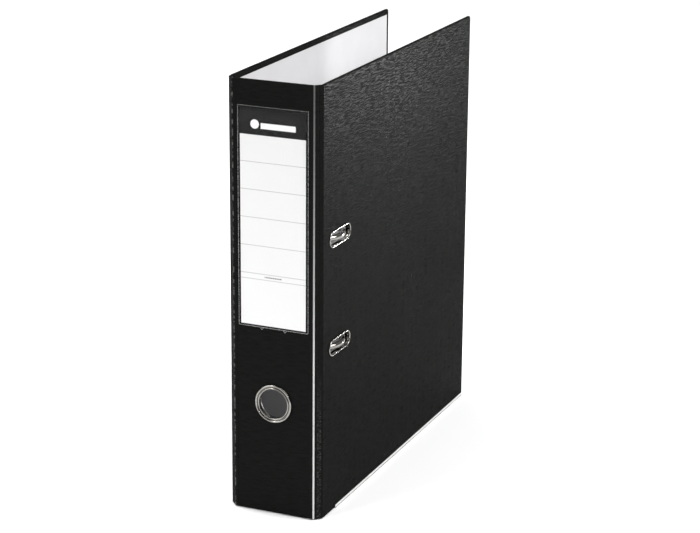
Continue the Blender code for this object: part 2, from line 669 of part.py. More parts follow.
def add_lever():
    """The channel-shaped lever, its pivot pin in the lugs, and the roller on a pin of its own."""
    half = LEVER_INNER_HALF + LEVER_SHEET
    pivot = along_back(LEVER_U, LEVER_PIVOT_H, LEVER_PIVOT_Z)
    lever = add_object("lever", prism("lever", lever_side(), -half, half, along="Y"), "nickel", pivot)
    arm_outer = LEVER_ARM_HALF + LEVER_SHEET
    for side in (-1, 1):
        faces = sorted((side * arm_outer, side * (half + OVERCUT)))
        tip = LEVER_REACH + OVERCUT
        shoulder = block("lever_waist", (-OVERCUT * 2, faces[0], 17 * MM), (OVERCUT * 2, faces[1], tip))
        boolean(lever, shoulder)
    channel = [
        (-4 * OVERCUT, -2 * OVERCUT),
        (-4 * OVERCUT, LEVER_REACH - 9 * MM),
        (1.9 * MM, LEVER_REACH - 9 * MM),
        (3.2 * MM, 19 * MM),
        (3.2 * MM, 6.5 * MM),
        (4 * OVERCUT, 6.5 * MM),
        (4 * OVERCUT, -2 * OVERCUT),
    ]
    boolean(lever, prism("lever_channel", channel, -LEVER_ARM_HALF, LEVER_ARM_HALF, along="Y"))
    boolean(lever, block("lever_mouth", (-4 * OVERCUT, -LEVER_INNER_HALF, -2 * OVERCUT),
                         (3.2 * MM, LEVER_INNER_HALF, 16 * MM)))
    heel_top = 6.5 * MM
    heel = block("lever_heel", (0, -LEVER_INNER_HALF, -2 * OVERCUT), (4 * OVERCUT, LEVER_INNER_HALF, heel_top))
    boolean(lever, heel)
    roller_h, roller_z = ROLLER_H - LEVER_PIVOT_H, ROLLER_Z - LEVER_PIVOT_Z
    for a, b, radius in ((0, 0, LEVER_PIN_RADIUS), (roller_h, roller_z, ROLLER_PIN_RADIUS)):
        hole = oval(a, b, 0, radius + 0.15 * MM, steps=10)
        boolean(lever, prism("lever_hole", hole, -half - OVERCUT, half + OVERCUT, along="Y"))
    reach = half + FIT_GAP + LUG_SHEET + 0.1 * MM
    pin = [
        (0, -reach - 0.8 * MM), (2.6 * MM, -reach - 0.7 * MM), (2.6 * MM, -reach), (LEVER_PIN_RADIUS, -reach),
        (LEVER_PIN_RADIUS, reach), (2.6 * MM, reach), (2.6 * MM, reach + 0.7 * MM), (0, reach + 0.8 * MM),
    ]
    add_object("lever_pin", turned("lever_pin", pin), "nickel", pivot, (-math.pi / 2, 0, 0))
    axle = along_back(LEVER_U, ROLLER_H, ROLLER_Z)
    pin = [(0, -half), (ROLLER_PIN_RADIUS, -half), (ROLLER_PIN_RADIUS, half), (0, half)]
    add_object("roller_pin", turned("roller_pin", pin, 16), "nickel", axle, (-math.pi / 2, 0, 0))
    width, bore = LEVER_INNER_HALF - FIT_GAP, ROLLER_PIN_RADIUS + 0.2 * MM
    profile = [
        (bore, -width), (ROLLER_RADIUS - 0.4 * MM, -width), (ROLLER_RADIUS, -width + 0.4 * MM),
        (ROLLER_RADIUS, width - 0.4 * MM), (ROLLER_RADIUS - 0.4 * MM, width), (bore, width),
    ]
    add_object("roller", oval_ring("roller", profile, (0, 0)), "spring_steel", axle)


def add_compressor():
    """The channel bar that slides on the posts and holds sheets down, and the wire that grips the posts."""
    low_u = POST_U - COMPRESSOR_WIDTH / 2
    high_u = POST_U + COMPRESSOR_WIDTH / 2
    low_z, high_z = MECHANISM_Z - COMPRESSOR_LENGTH / 2, MECHANISM_Z + COMPRESSOR_LENGTH / 2
    bar = add_object(
        "compressor_bar",
        prism("compressor_bar", rounded_rectangle(low_u, low_z, high_u, high_z, 5 * MM),
              COMPRESSOR_LOW_H, COMPRESSOR_TOP_H, along="X"),
        "nickel",
        along_back(0, 0, 0),
    )
    inset = COMPRESSOR_SHEET
    under = rounded_rectangle(low_u + inset, low_z + inset, high_u - inset, high_z - inset, 5 * MM - inset)
    boolean(bar, prism("under_bar", under, 0, COMPRESSOR_TOP_H - COMPRESSOR_SHEET, along="X"))
    catch_u = POST_U + POST_RADIUS + 0.4 * MM + CATCH_WIRE
    catch_ends = (low_z + 8 * MM, high_z - 8 * MM)
    holes = [(POST_U, z, COMPRESSOR_HOLE) for z in RING_LEVELS.values()]
    holes += [(catch_u, z, CATCH_WIRE + 0.3 * MM) for z in catch_ends]
    for u, z, radius in holes:
        outline = oval(u, z, 0, radius, steps=10)
        boolean(bar, prism("bar_hole", outline, 0, COMPRESSOR_TOP_H + OVERCUT, along="X"))
    over = COMPRESSOR_TOP_H + CATCH_WIRE + 0.2 * MM
    corners = [
        ((COMPRESSOR_LOW_H + 1.2 * MM, catch_u, catch_ends[0]), 0),
        ((over, catch_u, catch_ends[0]), 1.8 * MM),
        ((over, catch_u, catch_ends[1]), 1.8 * MM),
        ((COMPRESSOR_LOW_H + 1.2 * MM, catch_u, catch_ends[1]), 0),
    ]
    wire("compressor_catch", rounded_route(corners, 4), CATCH_WIRE, "spring_steel", along_back(0, 0, 0), 2)


def add_axis(name, place, parent=None):
    """An empty on a joint's axis. Its children keep the places that they were made at."""
    origin = parent.matrix_basis.translation if parent else Vector()
    axis = add_object(name, None, location=Vector(place) - origin)
    axis.empty_display_size = 10 * MM
    axis["place"] = list(place)
    axis.parent = parent
    return axis


def hang(axis, names):
    """Parents objects to a joint's empty without moving them."""
    for name in names:
        child = bpy.data.objects[name]
        child.parent = axis
        child.matrix_parent_inverse = Matrix.Translation(-Vector(axis["place"]))


def add_joint_axes():
    """The tree of joint axes: both creases on each side of the spine, and the mechanism on the back cover."""
    creases = {}
    for side in ("front", "back"):
        (strip_x, strip_y), (cover_x, cover_y) = PANELS[side + "_strip"][0], PANELS[side][0]
        strip = add_axis(side + "_spine_crease_axis", (strip_x, strip_y, 0))
        cover = add_axis(side + "_cover_crease_axis", (cover_x, cover_y, 0), strip)
        creases[side] = cover
        hang(strip, [f"{side}_strip_{layer}" for layer in ("board", "foil", "lining")])
        hang(cover, [f"{side}_{layer}" for layer in ("board", "foil", "lining", "shoe")])
    hang(creases["front"], [f"slot_{part}_{level}" for part in ("eyelet", "washer") for level in RING_LEVELS])
    fittings = ["base_plate", "post_lower", "post_upper", "arch_spring", "spring_rivet", "lever_pin"]
    hang(creases["back"], fittings)
    hang(creases["back"], [f"rivet_{i}" for i in (1, 2, 3, 4)])
    back_place = Vector(creases["back"]["place"])
    for name, place, moved in (
        ("arch_axis", along_back(SHAFT_U, SHAFT_H, 0), ["arch_bar"]),
        ("lever_axis", along_back(LEVER_U, LEVER_PIVOT_H, LEVER_PIVOT_Z), ["lever", "roller_pin", "roller"]),
        ("compressor_axis", along_back(POST_U, 0, MECHANISM_Z), ["compressor_bar", "compressor_catch"]),
    ):
        axis = add_axis(name, place)
        axis.parent = creases["back"]
        axis.location = place - back_place
        hang(axis, moved)


def main():
    for old in list(bpy.data.objects):
        bpy.data.objects.remove(old)
    layers = {panel: add_panel(panel) for panel in PANELS}
    for panel in ("front", "back"):
        add_shoe(panel)
    add_eyelets(layers["front"])
    add_finger_ring(layers["spine"])
    add_label()
    add_base_plate()
    add_rivets(layers["back"])
    add_posts()
    add_arch_bar()
    add_arch_spring()
    add_lever()
    add_compressor()
    add_joint_axes()


main()
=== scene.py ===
"""Finish of an A4 lever arch file: embossed film, plated fittings, label and paper on a studio floor."""

import json
import math

import bpy
import numpy as np
from mathutils import Matrix, Vector


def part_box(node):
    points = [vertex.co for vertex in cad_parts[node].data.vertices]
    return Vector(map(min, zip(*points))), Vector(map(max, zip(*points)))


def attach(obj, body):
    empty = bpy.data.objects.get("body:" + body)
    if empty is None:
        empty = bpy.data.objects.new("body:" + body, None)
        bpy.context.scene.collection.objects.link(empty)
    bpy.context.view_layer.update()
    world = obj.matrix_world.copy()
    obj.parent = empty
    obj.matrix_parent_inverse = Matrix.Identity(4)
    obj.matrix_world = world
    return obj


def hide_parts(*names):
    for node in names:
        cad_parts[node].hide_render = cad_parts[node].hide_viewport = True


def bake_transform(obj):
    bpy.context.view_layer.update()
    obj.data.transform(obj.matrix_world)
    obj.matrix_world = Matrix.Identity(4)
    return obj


bl_info = {
    "name": "Lever Arch File Finish",
    "version": (1, 0, 0),
    "blender": (4, 5, 0),
    "location": "3D View > Sidebar > Arch File",
    "description": "Builds the film, metal, paper and label of a lever arch file around its frame",
    "category": "Object",
}

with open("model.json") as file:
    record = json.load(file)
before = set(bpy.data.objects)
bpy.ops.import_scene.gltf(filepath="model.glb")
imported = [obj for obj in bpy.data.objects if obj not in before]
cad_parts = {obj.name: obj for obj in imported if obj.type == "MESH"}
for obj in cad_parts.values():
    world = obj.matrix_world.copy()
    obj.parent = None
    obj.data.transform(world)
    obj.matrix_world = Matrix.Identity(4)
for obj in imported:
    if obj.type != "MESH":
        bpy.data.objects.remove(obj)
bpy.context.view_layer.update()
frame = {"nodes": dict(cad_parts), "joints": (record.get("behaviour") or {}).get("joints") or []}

MM = 0.001
FOLD = math.radians(45)
SHARP_EDGE = math.radians(40)
JOINTS = {joint["name"]: joint for joint in frame["joints"]}
FLOOR_REACH = 12.0


# -------- sizes and colours that a user would change


def length(name, description, default):
    return bpy.props.FloatProperty(
        name=name, description=description, default=default, unit="LENGTH", precision=5
    )


def colour(name, description, default):
    return bpy.props.FloatVectorProperty(
        name=name, description=description, default=default, subtype="COLOR", size=3, min=0, max=1
    )


class ArchFileSizes(bpy.types.PropertyGroup):
    film: length("Film", "Thickness of the plastic film", 0.2 * MM)
    film_depth: length("Film depth", "Distance from the outer film to the turned-in film", 2.1 * MM)
    edge_roll: length("Edge roll", "Radius of the film over a board's edge", 0.85 * MM)
    turn_in: length("Turn-in", "Width of the film folded round to the inside", 15 * MM)
    fold_radius: length("Fold radius", "Outer radius of the film at a crease", 1.5 * MM)
    fold_reach: length("Fold reach", "Flat film on each side of a crease that bends with it", 3 * MM)
    corner_radius: length("Corner radius", "Radius of a cover's fore corners", 2.2 * MM)
    cover_foot: length("Cover foot", "Height of the boards' lower edge above the floor", 0.5 * MM)
    lining_depth: length("Lining depth", "Distance from the outer film to the face of the lining", 2.4 * MM)
    shoe_sheet: length("Shoe sheet", "Thickness of the steel of an edge shoe", 0.4 * MM)
    wire: length("Arch wire", "Radius of the arch wire", 2.2 * MM)
    pocket_film: length("Pocket film", "Thickness of the clear label pocket", 0.12 * MM)


class ArchFileColours(bpy.types.PropertyGroup):
    film: colour("Film", "Colour of the embossed film", (0.0076, 0.0080, 0.0075))
    # Crease colour: whitened film, which on the spine's creases also serves as a painted highlight.
    crease: colour("Crease", "Colour of film that is whitened along a crease", (0.62, 0.62, 0.61))
    board: colour("Board", "Colour of the greyboard core", (0.33, 0.31, 0.28))
    # Lining paper is set grey rather than white: painted shade that deepens the dark inside the case.
    paper: colour("Paper", "Colour of the lining paper", (0.52, 0.515, 0.525))
    card: colour("Card", "Colour of the label card", (0.82, 0.82, 0.82))
    header: colour("Header", "Colour of the label's printed header", (0.0055, 0.0055, 0.0055))
    # Nickel is set darker than real bright plating: painted shade standing in for dark surroundings in its
    # reflections.
    nickel: colour("Nickel", "Colour of the plated fittings", (0.27, 0.262, 0.245))
    steel: colour("Steel", "Colour of the edge shoes", (0.90, 0.90, 0.89))
    spring: colour("Spring steel", "Colour of bare spring steel", (0.30, 0.30, 0.31))
    grip: colour("Grip", "Colour of the moulded lever grip", (0.012, 0.012, 0.013))
    floor: colour("Floor", "Colour of the studio floor", (0.96, 0.96, 0.96))


def sizes():
    return bpy.context.scene.arch_file_sizes


def colours():
    return bpy.context.scene.arch_file_colours


def link(name, data):
    """A new object that is in the scene."""
    item = bpy.data.objects.new(name, data)
    bpy.context.scene.collection.objects.link(item)
    return item


# -------- the case in plan


class Panel:
    """A flat panel in plan, from start to end. Depth is measured inwards from its outer face."""

    def __init__(self, start, end, unfolded_start, body):
        self.start = np.array(start, float)
        run = np.array(end, float) - self.start
        self.length = float(np.hypot(*run))
        self.along = run / self.length
        self.inward = np.array((-self.along[1], self.along[0]))
        self.unfolded_start = unfolded_start
        self.body = body

    def place(self, run, depth, z):
        """World points start + along * run + inward * depth at height z, for arrays of the same shape."""
        run, depth, z = np.broadcast_arrays(run, depth, z)
        plan = self.start + run[..., None] * self.along + depth[..., None] * self.inward
        return np.concatenate((plan, z[..., None]), axis=-1)


def crease(name):
    return np.array(JOINTS[name]["pos_m"][:2])


def make_panels():
    """The five panels round the case, each with the distance along the unfolded film where it starts."""
    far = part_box("front_foil")[1].y
    front, back = crease("front_cover_crease"), crease("back_cover_crease")
    corners = [
        (back[0], far), back, crease("case_opening"), crease("front_spine_crease"), front, (front[0], far)
    ]
    bodies = ("back_cover", "back_strip", "spine", "front_strip", "front_cover")
    lengths = [math.dist(a, b) for a, b in zip(corners, corners[1:])]
    first = -(lengths[0] + lengths[1] + lengths[2] / 2)
    return {
        body.removesuffix("_cover"): Panel(a, b, first + sum(lengths[:i]), body)
        for i, (body, a, b) in enumerate(zip(bodies, corners, corners[1:]))
    }


PANELS = make_panels()
TOP_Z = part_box("front_foil")[1].z


# -------- surfaces


def middle(box):
    """The centre of a box that is given by its low and high corners."""
    return tuple((low + high) / 2 for low, high in zip(*box))


def arc(centre, radius, start, end, steps):
    """Points centre + radius * (cos a, sin a), for angles a in degrees from start to end."""
    angle = np.radians(np.linspace(start, end, steps + 1))
    return np.array(centre) + radius * np.stack((np.cos(angle), np.sin(angle)), axis=-1)


def rounded_path(points, radii, steps):
    """A path through 3D points, whose right-angled inner corners are each turned into an arc."""
    points = np.array(points, float)
    parts = [points[:1]]
    for before, corner, after, radius in zip(points, points[1:], points[2:], radii):
        back = (before - corner) / np.linalg.norm(before - corner)
        ahead = (after - corner) / np.linalg.norm(after - corner)
        centre = corner + (back + ahead) * radius
        angle = np.linspace(0, math.pi / 2, steps + 1)[:, None]
        parts.append(centre - ahead * radius * np.cos(angle) - back * radius * np.sin(angle))
    parts.append(points[-1:])
    return np.concatenate(parts)


def grid_faces(rows, columns, wrap_rows=False, wrap_columns=False):
    """Quads of a grid of points in row order, closed on itself where asked."""
    i, j = np.mgrid[: rows - (not wrap_rows), : columns - (not wrap_columns)]
    after_i, after_j = (i + 1) % rows, (j + 1) % columns
    quads = (i * columns + j, after_i * columns + j, after_i * columns + after_j, i * columns + after_j)
    return np.stack(quads, axis=-1).reshape(-1, 4)


def read(items, key, width, kind=np.float32):
    """A property of every item, as an array with that many columns."""
    values = np.empty(len(items) * width, kind)
    items.foreach_get(key, values)
    return values.reshape(-1, width)


def make_mesh(name, vertices, faces, uv=None, outward=None):
    """A mesh from arrays. A sheet is turned to face outward, and a closed mesh so that its volume, the
    sum of area * normal . centre, is positive."""
    mesh = bpy.data.meshes.new(name)
    vertices = vertices.reshape(-1, 3)
    mesh.from_pydata(vertices.tolist(), [], [list(map(int, face)) for face in faces])
    if uv is not None:
        corner = read(mesh.loops, "vertex_index", 1, np.int32)[:, 0]
        layer = mesh.uv_layers.new(name="film")
        layer.data.foreach_set("uv", uv.reshape(-1, 2)[corner].astype(np.float32).ravel())
    weighted = read(mesh.polygons, "normal", 3) * read(mesh.polygons, "area", 1)
    if outward is None:
        turned_in = ((read(mesh.polygons, "center", 3) - vertices.mean(axis=0)) * weighted).sum() < 0
    else:
        turned_in = weighted.sum(axis=0) @ np.array(outward) < 0
    if turned_in:
        mesh.flip_normals()
    mesh.shade_smooth()
    mesh.set_sharp_from_angle(angle=SHARP_EDGE)
    return mesh


def tell_frame(piece, body, slot, *replaced):
    """Attaches a piece to the body that carries it, and hides the CAD nodes that it replaces. The slot is
    not used.
    """
    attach(piece, body)
    if replaced:
        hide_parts(*replaced)


def add_piece(mesh, key, *told):
    """The piece made from a mesh that lies where it belongs, named after it. A piece that is still to be
    cut or thickened is told to the frame later."""
    piece = link(mesh.name, mesh)
    mesh.materials.append(finish(key))
    if told:
        tell_frame(piece, *told)
    return piece


def bake_modifiers(piece):
    """Applies the piece's modifiers to its mesh."""
    evaluated = piece.evaluated_get(bpy.context.evaluated_depsgraph_get())
    mesh = bpy.data.meshes.new_from_object(evaluated)
    mesh.name = piece.name
    piece.modifiers.clear()
    piece.data = mesh


def thicken(piece, thickness):
    """Gives a sheet its wall, grown away from its outer face."""
    wall = piece.modifiers.new("wall", "SOLIDIFY")
    wall.thickness = thickness
    wall.offset = -1
    bake_modifiers(piece)


def cut(piece, tool_mesh):
    """Cuts a closed shape out of a piece."""
    tool = link("cutting_tool", tool_mesh)
    hole = piece.modifiers.new("hole", "BOOLEAN")
    hole.operation = "DIFFERENCE"
    hole.solver = "EXACT"
    hole.object = tool
    bake_modifiers(piece)
    bpy.data.objects.remove(tool)
    piece.data.shade_smooth()
    piece.data.set_sharp_from_angle(angle=SHARP_EDGE)


def capped_mesh(name, loops):
    """A closed skin through matching loops of points, capped at its first and last loop."""
    rows, count = loops.shape[:2]
    faces = grid_faces(rows, count, wrap_columns=True)
    return make_mesh(name, loops, [*faces, range(count), range((rows - 1) * count, rows * count)])


def punch(panel, loop):
    """A prism on a loop of (run, z) points. It goes through a panel's outer film only."""
    outside, inside = -5 * MM, 1 * MM
    sides = [panel.place(loop[:, 0], depth, loop[:, 1]) for depth in (outside, inside)]
    return capped_mesh("tool", np.stack(sides))


def carry_section(name, path, section, reference=(1, 1, 1), scale=1):
    """A closed section carried along a path, with capped ends: each point is path + side * a + lift * b.
    Side is the cross product of the path's direction and the reference, and lift completes the frame."""
    path = np.array(path, float)
    ahead = np.roll(path, -1, axis=0) - np.roll(path, 1, axis=0)
    ahead[0], ahead[-1] = path[1] - path[0], path[-1] - path[-2]
    ahead /= np.linalg.norm(ahead, axis=1, keepdims=True)
    side = np.cross(ahead, np.array(reference, float))
    side /= np.linalg.norm(side, axis=1, keepdims=True)
    lift = np.cross(side, ahead)
    sized = section * np.broadcast_to(scale, len(path))[:, None, None]
    return capped_mesh(name, path[:, None] + side[:, None] * sized[..., :1] + lift[:, None] * sized[..., 1:])


def circle_section(radius, steps, flatten=1):
    points = arc((0, 0), radius, 0, 360, steps)[:-1]
    points[:, 1] *= flatten
    return points


def turn_profile(name, profile, origin, axis, steps=48):
    """A profile of (radius, height) points turned about an axis through origin. A profile that starts and
    ends on the axis is a solid, and one that closes on itself is a ring."""
    origin, axis = np.array(origin, float), np.array(axis, float)
    first = np.cross(axis, (0, 0, 1) if abs(axis[2]) < 0.5 else (1, 0, 0))
    first /= np.linalg.norm(first)
    second = np.cross(axis, first)
    angle = np.linspace(0, 2 * math.pi, steps, endpoint=False)
    ring = first * np.cos(angle)[:, None] + second * np.sin(angle)[:, None]
    solid = profile[0, 0] == 0
    body = profile[1:-1] if solid else profile
    points = origin + ring[None] * body[:, None, :1] + axis * body[:, None, 1:]
    faces = list(grid_faces(len(body), steps, wrap_rows=not solid, wrap_columns=True))
    if not solid:
        return make_mesh(name, points, faces)
    poles = origin + axis * profile[[0, -1], 1][:, None]
    vertices = np.concatenate((points.reshape(-1, 3), poles))
    around = np.arange(steps)
    after = (around + 1) % steps
    last = (len(body) - 1) * steps
    faces += list(np.stack((after, around, np.full(steps, len(vertices) - 2)), axis=-1))
    faces += list(np.stack((last + around, last + after, np.full(steps, len(vertices) - 1)), axis=-1))
    return make_mesh(name, vertices, faces)


def oval_loop(centre, half_straight, radius):
    """(run, z) points of a slot: two half circles, half_straight either side of the centre."""
    right = arc((centre[0] + half_straight, centre[1]), radius, -90, 90, 24)
    left = arc((centre[0] - half_straight, centre[1]), radius, 90, 270, 24)
    return np.concatenate((right, left))


def oval_ring_mesh(name, panel, centre, half_straight, profile):
    """A closed (radius, depth) profile carried round a slot: the slot's outline at each radius."""
    loops = np.stack([oval_loop(centre, half_straight, radius) for radius, _ in profile])
    points = panel.place(loops[..., 0], profile[:, 1:], loops[..., 1])
    faces = grid_faces(len(profile), loops.shape[1], wrap_rows=True, wrap_columns=True)
    return make_mesh(name, points, faces)


# -------- node materials


def shade(base, share):
    return tuple(share * channel for channel in base)


class Nodes:
    """A material's node tree, with short ways to add and join nodes."""

    def __init__(self, name, base, roughness, metallic=0.0, specular=0.5):
        self.material = bpy.data.materials.new(name)
        self.material.use_nodes = True
        self.tree = self.material.node_tree
        self.shader = self.tree.nodes["Principled BSDF"]
        names = ("Base Color", "Roughness", "Metallic", "Specular IOR Level")
        for name, value in zip(names, ((*base, 1), roughness, metallic, specular)):
            self.shader.inputs[name].default_value = value

    def join(self, socket, value):
        """Gives a socket a fixed value, or links another node's socket to it."""
        if isinstance(value, bpy.types.NodeSocket):
            self.tree.links.new(value, socket)
        else:
            socket.default_value = value

    def add(self, kind, values=(), **settings):
        """A node of that kind. Its inputs are set from (name, value or socket) pairs."""
        node = self.tree.nodes.new(kind)
        for key, value in settings.items():
            setattr(node, key, value)
        for key, value in values:
            self.join(node.inputs[key], value)
        return node

    def math(self, operation, a, b=0.0, clamp=False):
        node = self.add("ShaderNodeMath", ((0, a), (1, b)), operation=operation, use_clamp=clamp)
        return node.outputs[0]

    def times(self, a, b):
        return self.math("MULTIPLY", a, b)

    def noise(self, vector, scale, detail=3.0, roughness=0.5):
        """Noise of one scale, or of a scale for each axis that draws it out."""
        if isinstance(scale, tuple):
            mapping = self.add("ShaderNodeMapping", (("Vector", vector), ("Scale", scale)))
            vector, scale = mapping.outputs["Vector"], 1.0
        values = (("Vector", vector), ("Scale", scale), ("Detail", detail), ("Roughness", roughness))
        return self.add("ShaderNodeTexNoise", values).outputs["Fac"]

    def step(self, value, low, high, to_low=0.0, to_high=1.0):
        """A smooth rise from to_low to to_high as the value goes from low to high."""
        ends = (("From Min", low), ("From Max", high), ("To Min", to_low), ("To Max", to_high))
        node = self.add("ShaderNodeMapRange", (("Value", value), *ends), interpolation_type="SMOOTHSTEP")
        return node.outputs[0]

    def band(self, value, centre, half, soft):
        """One within half of the centre, falling smoothly to zero over soft."""
        away = self.math("ABSOLUTE", self.math("SUBTRACT", value, centre))
        return self.step(away, half, half + soft, 1.0, 0.0)

    def mix(self, factor, a, b):
        """Colour a where the factor is zero and b where it is one. They are the node's inputs 6 and 7."""
        node = self.add("ShaderNodeMix", (("Factor", factor),), data_type="RGBA")
        for key, value in ((6, a), (7, b)):
            self.join(node.inputs[key], (*value, 1) if isinstance(value, tuple) else value)
        return node.outputs[2]

    def mottle(self, noise, base, share, low=0.3, high=0.7):
        """That share of the base colour where the noise is low, rising to the base where it is high."""
        return self.mix(self.step(noise, low, high), shade(base, share), tuple(base))

    def bump(self, height, strength, distance):
        values = (("Height", height), ("Strength", strength), ("Distance", distance))
        self.drive("Normal", self.add("ShaderNodeBump", values).outputs["Normal"])

    def drive(self, socket, value):
        self.tree.links.new(value, self.shader.inputs[socket])

    def coordinates(self, kind="Object"):
        return self.add("ShaderNodeTexCoord").outputs[kind]

    def axes(self, vector):
        return self.add("ShaderNodeSeparateXYZ", (("Vector", vector),)).outputs


def film_material():
    """Black embossed film. The grain is noise drawn out into short dashes along the case with a weaker
    set across it. Thin pale lines along the spine's creases are partly whitened film and partly a painted
    highlight, and the film is whitened in dots on the front strip. The front marks fade with height."""
    base = colours().film
    nodes = Nodes("embossed_film", base, 0.42, specular=0.0025)
    place = nodes.coordinates("UV")
    run, rise, _ = nodes.axes(place)
    dashes = nodes.step(nodes.noise(place, (110, 1450, 1), 1.0), 0.33, 0.55)
    cross = nodes.noise(place, (900, 320, 1), 1.0)
    grain = nodes.math("ADD", nodes.times(dashes, 0.85), nodes.times(cross, 0.15))
    nodes.bump(grain, 1.0, 0.15 * MM)
    uneven = nodes.step(nodes.noise(place, 14.0), 0.3, 0.7, -0.03, 0.03)
    nodes.drive("Roughness", nodes.math("ADD", nodes.step(grain, 0.1, 0.8, 0.56, 0.29), uneven))
    tone = nodes.mix(nodes.step(grain, 0.1, 0.9), shade(base, 0.85), shade(base, 1.1))
    speck = nodes.noise(place, (900, 260, 1), 2.0, 0.6)
    ticks = nodes.noise(place, (450, 1500, 1), 1.0)
    half, strip = PANELS["spine"].length / 2, PANELS["front_strip"].length
    whitening_and_highlight = (nodes.step(speck, 0.22, 0.42, 0.5, 1.0), nodes.step(rise, 0.05, 0.32, 1.0, 0.15))
    dotted = (nodes.step(ticks, 0.5, 0.6, 0.0, 0.06), nodes.step(rise, 0.06, 0.13, 1.0, 0.05))
    # The two spine crease lines are painted highlight as well as whitened film; the third is whitened dots
    # on the front strip.
    for centre, reach, soft, strength in (
        (half, 0.15 * MM, 0.16 * MM, nodes.times(*whitening_and_highlight)),
        (-half, 0.15 * MM, 0.2 * MM, nodes.step(speck, 0.45, 0.62, 0.0, 0.14)),
        (half + 0.62 * strip, 0.26 * strip, 0.3 * MM, nodes.times(*dotted)),
    ):
        line = nodes.times(nodes.band(run, centre, reach, soft), strength)
        tone = nodes.mix(line, tone, tuple(colours().crease))
    nodes.drive("Base Color", tone)
    return nodes.material


def lining_material():
    """Uncoated paper: faint cloudy formation and a fine fibre tooth."""
    nodes = Nodes("lining_paper", colours().paper, 0.78, specular=0.35)
    place = nodes.coordinates()
    nodes.drive("Base Color", nodes.mottle(nodes.noise(place, 60.0, 4.0, 0.6), colours().paper, 0.97))
    nodes.bump(nodes.noise(place, (2400, 1400, 1100), 3.0, 0.6), 0.25, 0.05 * MM)
    return nodes.material


def board_material():
    """Greyboard: pressed waste paper in thin layers, with dark and light flecks."""
    nodes = Nodes("greyboard", colours().board, 0.92)
    place = nodes.coordinates()
    fleck = nodes.noise(place, 900.0, 3.0, 0.65)
    nodes.drive("Base Color", nodes.mottle(fleck, colours().board, 0.7, 0.35, 0.65))
    nodes.bump(nodes.noise(place, (3000, 3000, 60), 2.0), 0.4, 0.1 * MM)
    return nodes.material


def metal_material(name, base, roughness, spread, scale):
    """Plated or bare metal: uneven polish, fine scratches one way, and slight colour change."""
    nodes = Nodes(name, base, roughness, 1.0)
    place = nodes.coordinates()
    cloud = nodes.noise(place, 85.0, 3.0, 0.55)
    brushed = nodes.noise(place, scale, 3.0, 0.6)
    polish = nodes.step(cloud, 0.3, 0.7, roughness - spread, roughness + spread)
    scratches = nodes.step(brushed, 0.3, 0.7, -spread, spread)
    nodes.drive("Roughness", nodes.math("ADD", polish, scratches, clamp=True))
    nodes.drive("Base Color", nodes.mottle(cloud, base, 0.93))
    nodes.bump(brushed, 0.08, 0.004 * MM)
    return nodes.material


def shoe_material():
    """Zinc-plated edge steel, drawn along the cover, with a painted contact shadow darkening its lowest
    bend.
    """
    base = tuple(colours().steel)
    nodes = Nodes("shoe_steel", base, 0.4, 1.0)
    place = nodes.coordinates()
    brushed = nodes.noise(place, (2600, 130, 2600), 3.0, 0.6)
    nodes.drive("Roughness", nodes.step(brushed, 0.3, 0.7, 0.34, 0.48))
    # Painted contact shadow: below about a millimetre the shoe is darkened to 12 per cent of its colour.
    painted_contact_shadow = nodes.step(nodes.axes(place)[2], 0.8 * MM, 1.15 * MM, 1.0, 0.0)
    nodes.drive("Base Color", nodes.mix(painted_contact_shadow, base, shade(base, 0.12)))
    nodes.bump(brushed, 0.08, 0.004 * MM)
    return nodes.material


def label_material():
    """The label card: a dark printed header with a plain white disc and bar, pale ruled lines, and a row
    of small dashes in the narrow band below the fifth field. Lines and dashes are placed down from the
    header's foot, and the disc and bar down from the card's top."""
    low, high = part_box("spine_label")
    nodes = Nodes("label_print", colours().card, 0.5, specular=0.08)
    place = nodes.coordinates()
    x, _, z = nodes.axes(place)
    across = nodes.math("SUBTRACT", x, (low.x + high.x) / 2)
    down = nodes.math("SUBTRACT", high.z, z)
    fibre = nodes.noise(place, (1800, 1800, 1200), 3.0, 0.6)
    nodes.bump(fibre, 0.15, 0.03 * MM)
    tone = nodes.mottle(fibre, colours().card, 0.985)
    header, soft, hairline, disc_radius = 18.6 * MM, 0.1 * MM, 0.12 * MM, 3.2 * MM
    for drop in (19.2, 39.0, 59.0, 79.2, 99.6, 103.7):
        line = nodes.band(down, header + drop * MM, hairline, hairline)
        tone = nodes.mix(nodes.times(line, 0.8), tone, (0.30, 0.30, 0.31))
    wave = nodes.math("PINGPONG", nodes.math("ADD", across, 0.35 * MM), 0.7 * MM)
    row = nodes.band(down, header + 101.65 * MM, 0.42 * MM, soft)
    row = nodes.times(row, nodes.band(across, 0.0, 6.5 * MM, soft / 2))
    dashes = nodes.times(row, nodes.step(wave, 0.2 * MM, 0.3 * MM))
    tone = nodes.mix(dashes, tone, (0.06, 0.06, 0.06))
    printed = nodes.step(down, header - soft / 2, header + soft / 2, 1.0, 0.0)
    tone = nodes.mix(printed, tone, tuple(colours().header))
    bar = nodes.band(down, 11.9 * MM, 2.0 * MM, soft)
    bar = nodes.times(bar, nodes.band(across, 4.2 * MM, 13.2 * MM, soft))
    from_disc = (nodes.math("SUBTRACT", across, -13.6 * MM), nodes.math("SUBTRACT", down, 11.0 * MM))
    squares = (nodes.times(side, side) for side in from_disc)
    away = nodes.math("SQRT", nodes.math("ADD", *squares))
    disc = nodes.step(away, disc_radius, disc_radius + soft, 1.0, 0.0)
    tone = nodes.mix(nodes.math("MAXIMUM", bar, disc), tone, (0.9, 0.9, 0.9))
    nodes.drive("Base Color", tone)
    return nodes.material


